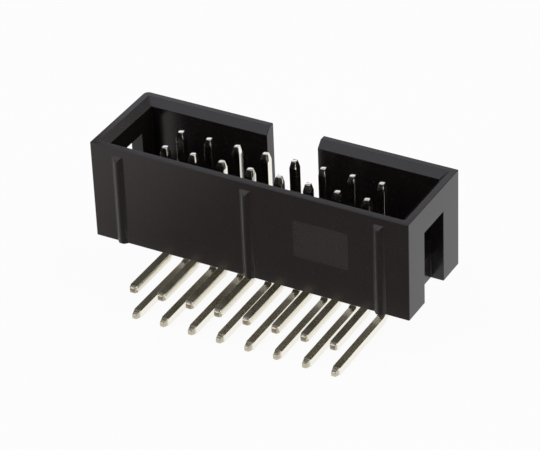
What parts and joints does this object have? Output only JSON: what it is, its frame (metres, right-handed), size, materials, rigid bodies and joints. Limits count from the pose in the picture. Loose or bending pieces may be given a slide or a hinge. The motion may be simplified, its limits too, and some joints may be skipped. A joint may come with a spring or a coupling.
{
  "type": "pin header",
  "caption": "Right-angle shrouded pin header: black moulded box with a key slot and end slots, holding two rows of bent square contacts whose tails solder into a circuit board.",
  "frame": {"origin": "middle of the solder tail pattern, on the face of the circuit board that the standoff ribs touch", "axes": "+X along the rows of contacts, -Y into the circuit board, +Z out of the mouth of the shroud"},
  "size_m": [0.0278, 0.0119, 0.0135],
  "materials": {
    "housing_plastic": "black glass-filled thermoplastic, fine satin moulded surface",
    "contact_plating": "square brass wire with bright pale tin plating"
  },
  "bodies": {
    "root": {"housing": "housing_plastic", "short_pin_1": "contact_plating", "short_pin_2": "contact_plating", "short_pin_3": "contact_plating", "short_pin_4": "contact_plating", "short_pin_5": "contact_plating", "short_pin_6": "contact_plating", "short_pin_7": "contact_plating", "short_pin_8": "contact_plating", "long_pin_1": "contact_plating", "long_pin_2": "contact_plating", "long_pin_3": "contact_plating", "long_pin_4": "contact_plating", "long_pin_5": "contact_plating", "long_pin_6": "contact_plating", "long_pin_7": "contact_plating", "long_pin_8": "contact_plating"}
  },
  "joints": []
}
